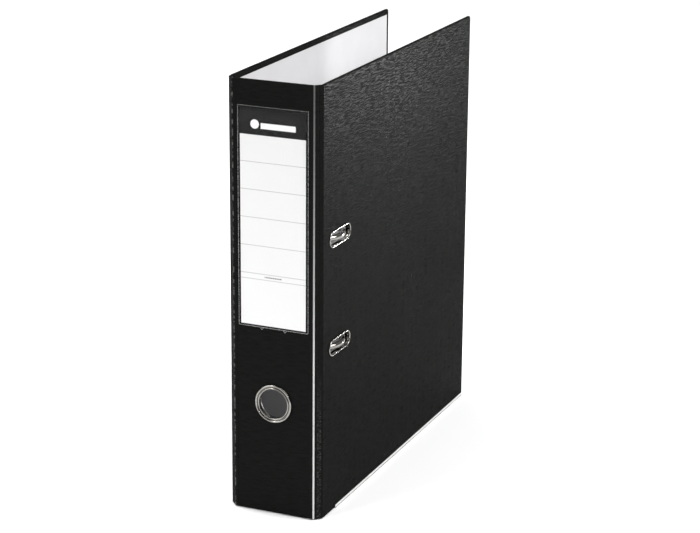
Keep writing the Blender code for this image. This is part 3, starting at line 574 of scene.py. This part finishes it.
def clear_film_material():
    """Clear soft film with a faint haze and a slightly wavy gloss."""
    nodes = Nodes("clear_film", (0.1, 0.1, 0.1), 0.12)
    nodes.shader.inputs["Alpha"].default_value = 0.04
    nodes.bump(nodes.noise(nodes.coordinates(), (45, 45, 20), 2.0), 0.2, 0.4 * MM)
    return nodes.material


def weld_material():
    """The pocket's welded seams, where the pressed film turns milky and grey."""
    milky = (0.32, 0.32, 0.32)
    nodes = Nodes("milky_weld", milky, 0.3)
    speck = nodes.noise(nodes.coordinates(), 1300.0, 2.0, 0.6)
    nodes.drive("Base Color", nodes.mix(nodes.step(speck, 0.35, 0.65), (0.05, 0.05, 0.05), milky))
    nodes.bump(speck, 0.3, 0.05 * MM)
    return nodes.material


def grip_material():
    """Moulded black plastic with a fine spark-eroded texture."""
    nodes = Nodes("moulded_grip", colours().grip, 0.42)
    erosion = nodes.noise(nodes.coordinates(), 2600.0, 2.0)
    nodes.bump(erosion, 0.3, 0.03 * MM)
    nodes.drive("Roughness", nodes.step(erosion, 0.3, 0.7, 0.36, 0.5))
    return nodes.material


MATERIALS = {
    "film": film_material,
    "lining": lining_material,
    "board": board_material,
    # The nickel's darkness is painted shade in its reflections, not the plating's own tone.
    "nickel": lambda: metal_material("bright_nickel", colours().nickel, 0.08, 0.02, (1800, 1800, 360)),
    "steel": shoe_material,
    "spring": lambda: metal_material("spring_steel", colours().spring, 0.33, 0.06, (2200, 440, 2200)),
    "label": label_material,
    "clear": clear_film_material,
    "weld": weld_material,
    "grip": grip_material,
}
MADE = {}


def finish(key):
    """The material of that key, made when it is first asked for."""
    if key not in MADE:
        MADE[key] = MATERIALS[key]()
    return MADE[key]


def refinish(key, *names):
    """Gives CAD nodes their final material."""
    for name in names:
        data = frame["nodes"][name].data
        data.materials.clear()
        data.materials.append(finish(key))


# -------- film over the boards


def edge_profile(outer_reach):
    """(inset, depth, unfolded inset) from the outer face, over a free edge and back along the inside. The
    edge is two quarter circles joined by a short straight. The unfolded inset goes on falling past it."""
    s = sizes()
    roll, depth = s.edge_roll, s.film_depth
    outer = arc((roll, roll), roll, 270, 180, 7)
    inner = arc((roll, depth - roll), roll, 180, 90, 7)
    profile = np.concatenate(([(outer_reach, 0)], outer, inner, [(s.turn_in, depth)]))
    travelled = np.append(0, np.cumsum(np.hypot(*np.diff(profile, axis=0).T)))
    return np.column_stack((profile, outer_reach - travelled))


def strip_profile():
    """(z, depth, unfolded z) round a panel with a free top and foot, from inside foot to inside top."""
    s = sizes()
    inset, depth, unfolded = edge_profile(20 * MM).T
    foot = np.column_stack((s.cover_foot + inset, depth, s.cover_foot + unfolded))[::-1]
    return np.concatenate((foot, np.column_stack((TOP_Z - inset, depth, TOP_Z - unfolded))))


def add_spine_film():
    """The spine's film: the strip profile drawn between its two folds, with the finger hole cut out."""
    s, panel, profile = sizes(), PANELS["spine"], strip_profile()
    run = np.linspace(s.fold_reach, panel.length - s.fold_reach, 9)[:, None]
    z, depth, unfolded = profile.T[:, None]
    uv = np.stack(np.broadcast_arrays(panel.unfolded_start + run, unfolded), axis=-1)
    faces = grid_faces(len(run), len(profile))
    mesh = make_mesh("spine_film", panel.place(run, depth, z), faces, uv, (0, -1, 0))
    film = add_piece(mesh, "film")
    thicken(film, s.film)
    centre, radius, _ = finger_hole()
    clearance = 1.0 * MM
    hole = arc((centre[0] - panel.start[0], centre[2]), radius + clearance, 0, 360, 64)[:-1]
    cut(film, punch(panel, hole))
    tell_frame(film, panel.body, "black_foil", "spine_foil")


def cover_outline(panel, inset):
    """(run, z) points along a cover's foot, fore and top edges at an inset. Both fore corners are arcs,
    whose radius shrinks as the inset grows."""
    s = sizes()
    low, high = s.cover_foot + inset, TOP_Z - inset
    far = panel.length - inset
    radius = max(s.corner_radius - inset, 0.05 * MM)
    lower = arc((far - radius, low + radius), radius, -90, 0, 8)
    upper = arc((far - radius, high - radius), radius, 0, 90, 8)
    return np.concatenate(([(s.fold_reach, low)], lower, upper, [(s.fold_reach, high)]))


def add_cover_film(name, outward):
    """A cover's film: the edge profile carried round three sides of the outline, and the flat face inside
    it. The back cover's run starts at its fore edge, so it is turned round."""
    panel = PANELS[name]

    def ring(inset, depth):
        run, z = cover_outline(panel, inset).T
        run = run if name == "front" else panel.length - run
        return panel.place(run, depth, z), np.column_stack((panel.unfolded_start + run, z))

    profile = edge_profile(6 * MM)
    points = np.stack([ring(inset, depth)[0] for inset, depth, _ in profile])
    uv = np.stack([ring(unfolded, 0)[1] for _, _, unfolded in profile])
    rows, columns = points.shape[:2]
    faces = [*grid_faces(rows, columns), range(columns - 1, -1, -1)]
    film = add_piece(make_mesh(name + "_film", points, faces, uv, outward), "film")
    thicken(film, sizes().film)
    for hole in cover_holes(name, panel):
        cut(film, punch(panel, hole))
    tell_frame(film, panel.body, "black_foil", name + "_foil")


def cover_holes(name, panel):
    """Outlines of the holes in a cover's film: two slots in the front, four rivet holes in the back."""
    clearance, rivet_hole = 0.75 * MM, 2 * MM
    if name == "front":
        return [oval_loop(centre, half, radius + clearance) for centre, half, radius, _ in slots()]
    centres = [middle(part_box(f"rivet_{number}")) for number in range(1, 5)]
    return [arc((panel.start[1] - y, z), rivet_hole, 0, 360, 32)[:-1] for _, y, z in centres]


def fold_rows(first, second, crease_name, reach_first, reach_second, depths, fillet, steps=10):
    """Plan points and unfolded runs across a crease. The corner is an arc about a centre on the bisector:
    its depth is the fold radius, or the surface's own depth plus a fillet where that is deeper. Rows are
    stations across the fold, and columns are depths."""
    corner = crease(crease_name)
    bisector = first.inward + second.inward
    bisector /= np.linalg.norm(bisector)
    depths = np.array(depths, float)
    centre_depth = np.maximum(sizes().fold_radius, depths + fillet)
    radius = centre_depth - depths
    centre = corner + bisector * (centre_depth / math.cos(FOLD / 2))[:, None]
    tangent = centre_depth * math.tan(FOLD / 2)
    turn = np.linspace(0, FOLD, steps + 1)[:, None, None]
    back, side = -first.inward, first.along
    bend = centre + radius[:, None] * (back * np.cos(turn) + side * np.sin(turn))

    def flat(along, inward, reach):
        share = np.linspace(1, 0, 4)[:-1, None, None]
        return corner + along * (share * reach + (1 - share) * tangent[:, None]) + inward * depths[:, None]

    before = flat(-first.along, first.inward, reach_first)
    after = flat(second.along, second.inward, reach_second)[::-1]
    rows = np.concatenate((before, bend, after))
    run = np.append(0, np.cumsum(np.hypot(*np.diff(rows[:, 0], axis=0).T)))
    stretch = (reach_first + reach_second) / run[-1]
    return rows, second.unfolded_start - reach_first + run * stretch


def folds(wide_reach):
    """(name, first panel, second panel, joint, reaches) of each crease. A fold ends halfway across a
    strip, and at the wide reach on a wide panel."""
    panels = list(PANELS.values())
    names = ("back_outer", "back_inner", "front_inner", "front_outer")
    joints = ("back_cover_crease", "case_opening", "front_spine_crease", "front_cover_crease")
    for name, joint, *pair in zip(names, joints, panels, panels[1:]):
        reaches = [panel.length / 2 if "strip" in panel.body else wide_reach for panel in pair]
        yield name, *pair, joint, reaches


def blend_fold(piece):
    """Bakes the piece's transform into its mesh."""
    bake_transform(piece)


def add_film_folds():
    """Film over each crease: the strip profile carried round the fold's arc."""
    z, depth, unfolded = strip_profile().T
    for name, first, second, joint, reaches in folds(sizes().fold_reach):
        rows, run = fold_rows(first, second, joint, *reaches, depth, 0.3 * MM)
        points = np.dstack((rows, np.broadcast_to(z, rows.shape[:2])))
        uv = np.stack(np.broadcast_arrays(run[:, None], unfolded[None]), axis=-1)
        outward = (*-(first.inward + second.inward), 0)
        mesh = make_mesh(name + "_fold", points, grid_faces(*rows.shape[:2]), uv, outward)
        fold = add_piece(mesh, "film")
        thicken(fold, sizes().film)
        blend_fold(fold)
        for panel in (first, second):
            if "strip" in panel.body:
                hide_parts(panel.body + "_foil")


def add_lining_folds():
    """A paper hinge over each crease inside: a thin closed band that follows the corner with a fillet. It
    is as tall as the lining, and ends just short of the middle of a strip."""
    s = sizes()
    margin, gap, lift, paper = 4 * MM, 0.05 * MM, 0.03 * MM, 0.1 * MM
    levels = np.linspace(s.cover_foot + margin, TOP_Z - margin, 9)
    depths = (s.lining_depth + lift, s.lining_depth + lift + paper)
    for name, first, second, joint, reaches in folds(5 * MM):
        reaches = (reach - gap for reach in reaches)
        rows, _ = fold_rows(first, second, joint, *reaches, depths, 1.0 * MM, steps=6)
        loop = np.concatenate((rows[:, 0], rows[::-1, 1]))
        bands = np.stack([np.column_stack((loop, np.full(len(loop), z))) for z in levels])
        band = add_piece(capped_mesh(name + "_hinge_paper", bands), "lining")
        blend_fold(band)


# -------- fittings of the case


def finger_hole():
    """Centre on the spine's outer face, inner radius and outer radius of the finger ring."""
    low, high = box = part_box("finger_ring")
    outer, flange = (high.x - low.x) / 2, 3.2 * MM
    x, _, z = middle(box)
    return (x, PANELS["spine"].start[1], z), outer - flange, outer


def add_finger_ring():
    """The finger ring, turned about the spine's normal: a rolled outer bead, a narrow groove, a low inner
    lip, and the tube that runs through the spine."""
    centre, inner, outer = finger_hole()
    back, face = centre[1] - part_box("finger_ring")[1].y, 0.02 * MM
    tube = inner + 0.7 * MM
    profile = np.concatenate((
        [(outer - 0.35 * MM, face)],
        arc((outer - 0.75 * MM, 0.72 * MM), 0.75 * MM, -50, 180, 18),
        arc((outer - 1.8 * MM, 0.35 * MM), 0.3 * MM, 0, -180, 8),
        arc((inner + 0.5 * MM, 0.75 * MM), 0.5 * MM, 0, 180, 10),
        [(inner, back + 0.2 * MM), (inner + 0.15 * MM, back), (tube, back), (tube, face)],
    ))
    mesh = turn_profile("finger_ring_rolled", profile, centre, (0, -1, 0), 128)
    add_piece(mesh, "nickel", "spine", "nickel", "finger_ring")


def slots():
    """(centre, half straight, opening radius, flange radius) of each slot in the front cover."""
    found, lip = [], 1.2 * MM
    for level in ("lower", "upper"):
        low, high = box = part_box("slot_eyelet_" + level)
        _, y, z = middle(box)
        flange = (high.z - low.z) / 2
        half = (high.y - low.y) / 2 - flange
        found.append(((y - PANELS["front"].start[1], z), half, flange - lip, flange))
    return found


def add_slot_eyelets():
    """Rolled oval eyelets: a rounded rim that stands proud of the film, and a tube through the cover."""
    panel = PANELS["front"]
    back = panel.start[0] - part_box("slot_eyelet_upper")[0].x
    for level, (centre, half, opening, flange) in zip(("lower", "upper"), slots()):
        tube, face = opening + 0.4 * MM, -0.03 * MM
        profile = np.concatenate((
            [(flange - 0.1 * MM, face)],
            arc((flange - 0.5 * MM, -0.35 * MM), 0.5 * MM, 0, -180, 12),
            [(opening, back - 0.15 * MM), (opening + 0.1 * MM, back), (tube, back), (tube, face)],
        ))
        mesh = oval_ring_mesh(f"slot_rim_{level}", panel, centre, half, profile)
        add_piece(mesh, "nickel", "front_cover", "nickel", "slot_eyelet_" + level)


def add_shoes():
    """Edge shoes: a U of sheet steel with rolled lips, drawn along the cover's lower edge. The section is
    the U's outer line, a half circle over one lip, the inner line back, and the other lip."""
    sheet, bend, ease = sizes().shoe_sheet, 0.7 * MM, 0.15 * MM
    half = sheet / 2
    for cover in ("front", "back"):
        low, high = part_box(cover + "_shoe")
        lip = high.z - half

        def u_line(inset):
            left = arc((low.x + bend, bend), bend - inset, 180, 270, 6)
            right = arc((high.x - bend, bend), bend - inset, 270, 360, 6)
            return np.concatenate(([(low.x + inset, lip)], left, right, [(high.x - inset, lip)]))

        lips = [arc((x, lip), half, 0, 180, 6)[1:-1] for x in (high.x - half, low.x + half)]
        section = np.concatenate((u_line(0), lips[0], u_line(sheet)[::-1], lips[1]))
        centre = np.array(((low.x + high.x) / 2, section[:, 1].mean()))
        shrink = np.array((0.985, 1, 1, 0.985))[:, None, None]
        x, z = (centre + (section - centre) * shrink).transpose(2, 0, 1)
        stations = np.array((low.y, low.y + ease, high.y - ease, high.y))[:, None]
        loops = np.stack((x, np.broadcast_to(stations, x.shape), np.maximum(z, 0)), axis=-1)
        shoe = capped_mesh(cover + "_edge_shoe", loops)
        add_piece(shoe, "steel", cover + "_cover", "steel_shoe", cover + "_shoe")


# -------- label and pocket


def add_pocket():
    """The clear pocket: a thin sheet over the label that falls to the spine at its welded sides and foot.
    The sheet's rise is a smooth step of the distance to the nearest welded edge. Beads of milky weld run
    along those edges, and a thinner one along the open mouth."""
    low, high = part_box("label_pocket")
    face = PANELS["spine"].start[1]
    lift = face - low.y
    ease, base, inset = 1.6 * MM, 0.14 * MM, 0.22 * MM
    share = np.sin(np.linspace(0, math.pi / 2, 9))[:-1] * ease
    xs = np.concatenate((low.x + share, np.linspace(low.x + ease, high.x - ease, 8), (high.x - share)[::-1]))
    zs = np.concatenate((low.z + share, np.linspace(low.z + ease, high.z, 12)))
    x, z = np.meshgrid(xs, zs, indexing="ij")
    rise = np.clip(np.minimum(np.minimum(x - low.x, high.x - x), z - low.z) / ease, 0, 1)
    rise = rise * rise * (3 - 2 * rise)
    points = np.stack((x, face - base - (lift - base) * rise, z), axis=-1)
    sheet = add_piece(make_mesh("pocket_sheet", points, grid_faces(*x.shape), None, (0, -1, 0)), "clear")
    thicken(sheet, sizes().pocket_film)
    tell_frame(sheet, "spine", "clear_film", "label_pocket")
    left, right, foot, top = low.x + inset, high.x - inset, low.z + inset, high.z - inset
    y, mouth_y = face - 0.12 * MM, face - lift + 0.1 * MM
    edge = ((left, y, top), (left, y, foot), (right, y, foot), (right, y, top))
    section = circle_section(0.2 * MM, 12, 0.6)
    add_weld("pocket_weld", rounded_path(edge, (0.8 * MM, 0.8 * MM), 6), section)
    add_weld("pocket_mouth", ((left, mouth_y, high.z), (right, mouth_y, high.z)), section * 0.6)
    reach, drop = 1.3 * MM, 1.5 * MM
    for number, part in enumerate((1 / 3, 2 / 3), 1):
        x = low.x + part * (high.x - low.x)
        notch = ((x - reach, y, low.z), (x, y, low.z - drop), (x + reach, y, low.z))
        add_weld(f"pocket_notch_{number}", notch, circle_section(0.22 * MM, 10, 0.6))


def add_weld(name, path, section):
    add_piece(carry_section(name, path, section, (0, 1, 0)), "weld", "spine", "clear_film")


# -------- lever arch mechanism


def add_arch_wire():
    """One wire: two round arches joined by the shaft with its crank. Its path has right-angled corners
    turned into arcs, and its section is a circle that narrows at the tips."""
    low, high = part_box("arch_bar")
    wire = sizes().wire
    shaft_x, shaft_y, _ = JOINTS["arch_pivot"]["pos_m"]
    top, far = high.x - wire, high.y - wire
    levels = low.z + wire, high.z - wire
    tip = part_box("post_upper")[1].x + 0.4 * MM
    crank_y = shaft_y + 9.5 * MM
    centre = (levels[0] + levels[1]) / 2
    cranks = centre - 1 * MM, centre + 27 * MM
    lower = ((tip, far), (top, far), (top, shaft_y), (shaft_x, shaft_y))
    crank = [(shaft_x, y, cranks[i]) for y, i in ((shaft_y, 0), (crank_y, 0), (crank_y, 1), (shaft_y, 1))]
    corners = [(x, y, levels[0]) for x, y in lower] + crank + [(x, y, levels[1]) for x, y in lower[::-1]]
    arch, shaft, bend = 18.5 * MM, 5 * MM, 3.5 * MM
    path = rounded_path(corners, (arch, arch, shaft, bend, bend, bend, bend, shaft, arch, arch), 14)
    ends = [np.array((tip + d * MM, far, level)) for level in levels for d in (0.25, 0.8)]
    path = np.concatenate((path[:1], ends[:2], path[1:-1], ends[:1:-1], path[-1:]))
    scale = np.ones(len(path))
    scale[:3] = scale[:-4:-1] = 0.62, 0.86, 1.0
    mesh = carry_section("arch_wire", path, circle_section(wire, 28), scale=scale)
    add_piece(mesh, "nickel", "arch", "nickel", "arch_bar")


def turn_on_cover(kind, node, outline):
    """A turned piece on the back cover. Its (radius, height) outline in mm follows from its height."""
    low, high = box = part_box(node)
    profile = np.array(outline((high.x - low.x) / MM)) * MM
    mesh = turn_profile(kind, profile, (low.x, *middle(box)[1:]), (1, 0, 0))
    add_piece(mesh, "nickel", "back_cover", "nickel", node)


def post_outline(tall):
    """A riveted foot, a collar, a plain shank and a tapered top."""
    return [
        (0, 0), (2.3, 0), (2.6, 0.3), (2.6, 0.8), (1.5, 0.8), (1.5, 1.9), (3.4, 1.9),
        *arc((3.2, 2.2), 0.3, -20, 90, 5), (2.6, 2.65), (2.2, 3.2), (2.2, tall - 1.4),
        *arc((1.7, tall - 1.4), 0.5, 0, 40, 4), (1.62, tall - 0.12), (1.45, tall), (0, tall),
    ]


def rivet_outline(tall):
    """A domed head outside the cover, the shank, and the clinched tail over the plate. Head and tail
    are quarter ellipses."""
    head, tail = 0.8, tall - 0.8
    dome = [(4.5 * math.sin(a), head * (1 - math.cos(a))) for a in np.linspace(0, math.pi / 2, 9)]
    clinch = [(1.2 + 1.9 * math.cos(a), tail + 0.8 * math.sin(a)) for a in np.linspace(0.25, math.pi / 2, 6)]
    return [*dome, (1.8, head), (1.8, tail), (3.05, tail), *clinch, (0.6, tall - 0.25), (0, tall - 0.3)]


def add_posts_and_rivets():
    for level in ("lower", "upper"):
        turn_on_cover("turned_post_" + level, "post_" + level, post_outline)
    for number in range(1, 5):
        turn_on_cover(f"domed_rivet_{number}", f"rivet_{number}", rivet_outline)


def add_lever_grip():
    """A moulded sleeve over the end of the lever, swelling towards its middle. Its section is a
    superellipse: each axis goes as the signed power of the cosine or sine."""
    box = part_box("lever")
    x, y, _ = middle(box)
    top = box[1].z
    reach, power = 26 * MM, 0.55
    rise = np.linspace(0, 1, 15)
    swell = np.concatenate(([0.72, 0.9], 0.96 + 0.04 * np.sin(rise[2:-2] * math.pi), [0.9, 0.7]))
    path = [(x + 1.2 * MM, y, top - reach * (1 - share)) for share in rise]
    unit = circle_section(1, 32)
    section = np.array((6.9, 4.6)) * MM * np.sign(unit) * np.abs(unit) ** power
    mesh = carry_section("lever_sleeve", path, section, (1, 0, 0), swell)
    add_piece(mesh, "grip", "lever", "black_foil")


# -------- stage


CAMERA_LENS = 111.75
CAMERA_PLACE = (0.6256, -1.4464, 0.6332)
CAMERA_AZIMUTH, CAMERA_PITCH, CAMERA_ROLL = math.radians(23.53), math.radians(17.15), math.radians(0.43)


def add_camera():
    """The camera looks down along its azimuth and pitch, and is rolled by a fraction of a degree."""
    azimuth, pitch, roll = CAMERA_AZIMUTH, CAMERA_PITCH, CAMERA_ROLL
    level = math.cos(pitch)
    forward = Vector((-math.sin(azimuth) * level, math.cos(azimuth) * level, -math.sin(pitch)))
    right = forward.cross(Vector((0, 0, 1))).normalized()
    up = right.cross(forward)
    right, up = right * math.cos(roll) + up * math.sin(roll), up * math.cos(roll) - right * math.sin(roll)
    data = bpy.data.cameras.new("studio_camera")
    data.lens = CAMERA_LENS
    data.sensor_width = 36
    data.clip_start = 0.05
    camera = link("studio_camera", data)
    turn = Matrix((right, up, -forward)).transposed().to_4x4()
    camera.matrix_world = Matrix.Translation(CAMERA_PLACE) @ turn
    bpy.context.scene.camera = camera


def add_lamp(data, place, target):
    """Hangs a lamp at its place and turns it to its target."""
    lamp = link(data.name, data)
    lamp.location = place
    lamp.rotation_euler = (Vector(target) - Vector(place)).to_track_quat("-Z", "Y").to_euler()


def add_softbox(name, place, target, size, power):
    """A rectangular lamp. Its size is in metres and its power in watts."""
    data = bpy.data.lights.new(name, "AREA")
    data.shape = "RECTANGLE"
    data.size, data.size_y = size
    data.energy = power
    add_lamp(data, place, target)


def add_snooted_light(name, place, target, angle, radius, power):
    """A light whose beam of that angle in degrees fades all the way from its middle to its rim."""
    data = bpy.data.lights.new(name, "SPOT")
    data.spot_size = math.radians(angle)
    data.spot_blend = 1
    data.shadow_soft_size = radius
    data.energy = power
    add_lamp(data, place, target)


def add_floor():
    """A plain white floor that reaches far past the view on all sides."""
    base = colours().floor
    nodes = Nodes("studio_floor", base, 0.9, specular=0.1)
    cloud = nodes.noise(nodes.coordinates(), 1.5, 2.0)
    nodes.drive("Base Color", nodes.mottle(cloud, base, 0.99))
    corners = np.array(((-1, -1, 0), (1, -1, 0), (1, 1, 0), (-1, 1, 0))) * FLOOR_REACH
    mesh = make_mesh("studio_floor", corners, [(0, 1, 2, 3)], None, (0, 0, 1))
    mesh.materials.append(nodes.material)
    link("studio_floor", mesh)


def add_stage():
    scene = bpy.context.scene
    scene.view_settings.view_transform = "Standard"
    world = bpy.data.worlds.new("studio_world")
    world.use_nodes = True
    background = world.node_tree.nodes["Background"]
    background.inputs["Color"].default_value = (1, 1, 1, 1)
    background.inputs["Strength"].default_value = 0.28
    scene.world = world
    add_floor()
    add_softbox("left_softbox", (-1.6, 0.3, 2.0), (-0.4, 0.2, 0), (1.5, 2.8), 67)
    add_softbox("right_softbox", (1.6, 0.3, 2.0), (0.4, 0.2, 0), (1.5, 2.8), 84)
    add_softbox("front_softbox", (-1.3, -1.5, 1.0), (0, 0, 0.15), (1.4, 1.4), 24)
    add_snooted_light("ring_light", (-0.6, -1.1, 0.75), (0, -0.142, 0.0845), 8, 0.10, 16)
    add_snooted_light("slot_light", (1.1, -0.75, 0.7), (0.037, -0.1, 0.165), 12, 0.03, 4)
    add_snooted_light("lining_light", (0.9, 0.12, 0.85), (-0.036, -0.07, 0.33), 24, 0.12, 19)
    add_snooted_light("cover_light", (0.67, 1.12, 0.11), (0.036, -0.10, 0.33), 14.5, 0.14, 125)


# -------- operators and panel


class PieceOperator:
    """Runs its own steps. A step that fails raises, which stops the script."""

    steps = ()

    def execute(self, context):
        for step in self.steps:
            step()
        return {"FINISHED"}


class ARCHFILE_OT_stage(PieceOperator, bpy.types.Operator):
    """Add the floor, the lights, the world and the camera"""

    bl_idname = "archfile.stage"
    bl_label = "Stage"
    steps = (add_stage, add_camera)


class ARCHFILE_OT_film(PieceOperator, bpy.types.Operator):
    """Wrap the spine and both covers in embossed film"""

    bl_idname = "archfile.film"
    bl_label = "Panel Film"
    steps = (
        add_spine_film,
        lambda: add_cover_film("front", (1, 0, 0)),
        lambda: add_cover_film("back", (-1, 0, 0)),
    )


class ARCHFILE_OT_folds(PieceOperator, bpy.types.Operator):
    """Add the film and the paper hinge strips that bend at the creases"""

    bl_idname = "archfile.folds"
    bl_label = "Creases"
    steps = (add_film_folds, add_lining_folds)


class ARCHFILE_OT_boards(PieceOperator, bpy.types.Operator):
    """Finish the boards and their linings"""

    bl_idname = "archfile.boards"
    bl_label = "Boards and Linings"
    steps = (
        lambda: refinish("board", *(panel + "_board" for panel in PANELS)),
        lambda: refinish("lining", *(panel + "_lining" for panel in PANELS)),
    )


class ARCHFILE_OT_fittings(PieceOperator, bpy.types.Operator):
    """Add the finger ring, the slot eyelets and the edge shoes"""

    bl_idname = "archfile.fittings"
    bl_label = "Metal Fittings"
    steps = (
        add_finger_ring,
        add_slot_eyelets,
        add_shoes,
        lambda: refinish("nickel", "finger_washer", "slot_washer_lower", "slot_washer_upper"),
    )


class ARCHFILE_OT_label(PieceOperator, bpy.types.Operator):
    """Finish the label card and add its clear pocket"""

    bl_idname = "archfile.label"
    bl_label = "Label and Pocket"
    steps = (lambda: refinish("label", "spine_label"), add_pocket)


class ARCHFILE_OT_mechanism(PieceOperator, bpy.types.Operator):
    """Add the arches, posts and rivets, and finish the plate, lever and compressor"""

    bl_idname = "archfile.mechanism"
    bl_label = "Lever Arch Mechanism"
    steps = (
        add_arch_wire,
        add_posts_and_rivets,
        add_lever_grip,
        lambda: refinish("nickel", "base_plate", "lever", "lever_pin", "roller_pin"),
        lambda: refinish("nickel", "spring_rivet", "compressor_bar"),
        lambda: refinish("spring", "arch_spring", "roller", "compressor_catch"),
    )


OPERATORS = (
    ARCHFILE_OT_stage,
    ARCHFILE_OT_boards,
    ARCHFILE_OT_film,
    ARCHFILE_OT_folds,
    ARCHFILE_OT_fittings,
    ARCHFILE_OT_label,
    ARCHFILE_OT_mechanism,
)


class ARCHFILE_PT_sidebar(bpy.types.Panel):
    """Lists the pieces of the lever arch file"""

    bl_idname = "ARCHFILE_PT_sidebar"
    bl_label = "Lever Arch File"
    bl_space_type = "VIEW_3D"
    bl_region_type = "UI"
    bl_category = "Arch File"

    def draw(self, context):
        for group in (context.scene.arch_file_sizes, context.scene.arch_file_colours):
            for name in group.__annotations__:
                self.layout.prop(group, name)
        for operator in OPERATORS:
            self.layout.operator(operator.bl_idname)


CLASSES = (ArchFileSizes, ArchFileColours, *OPERATORS, ARCHFILE_PT_sidebar)


def register():
    for item in CLASSES:
        bpy.utils.register_class(item)
    bpy.types.Scene.arch_file_sizes = bpy.props.PointerProperty(type=ArchFileSizes)
    bpy.types.Scene.arch_file_colours = bpy.props.PointerProperty(type=ArchFileColours)


def unregister():
    del bpy.types.Scene.arch_file_colours
    del bpy.types.Scene.arch_file_sizes
    for item in reversed(CLASSES):
        bpy.utils.unregister_class(item)


def main():
    register()
    bpy.ops.archfile.stage()
    bpy.ops.archfile.boards()
    bpy.ops.archfile.film()
    bpy.ops.archfile.folds()
    bpy.ops.archfile.fittings()
    bpy.ops.archfile.label()
    bpy.ops.archfile.mechanism()


if __name__ == "__main__":
    main()
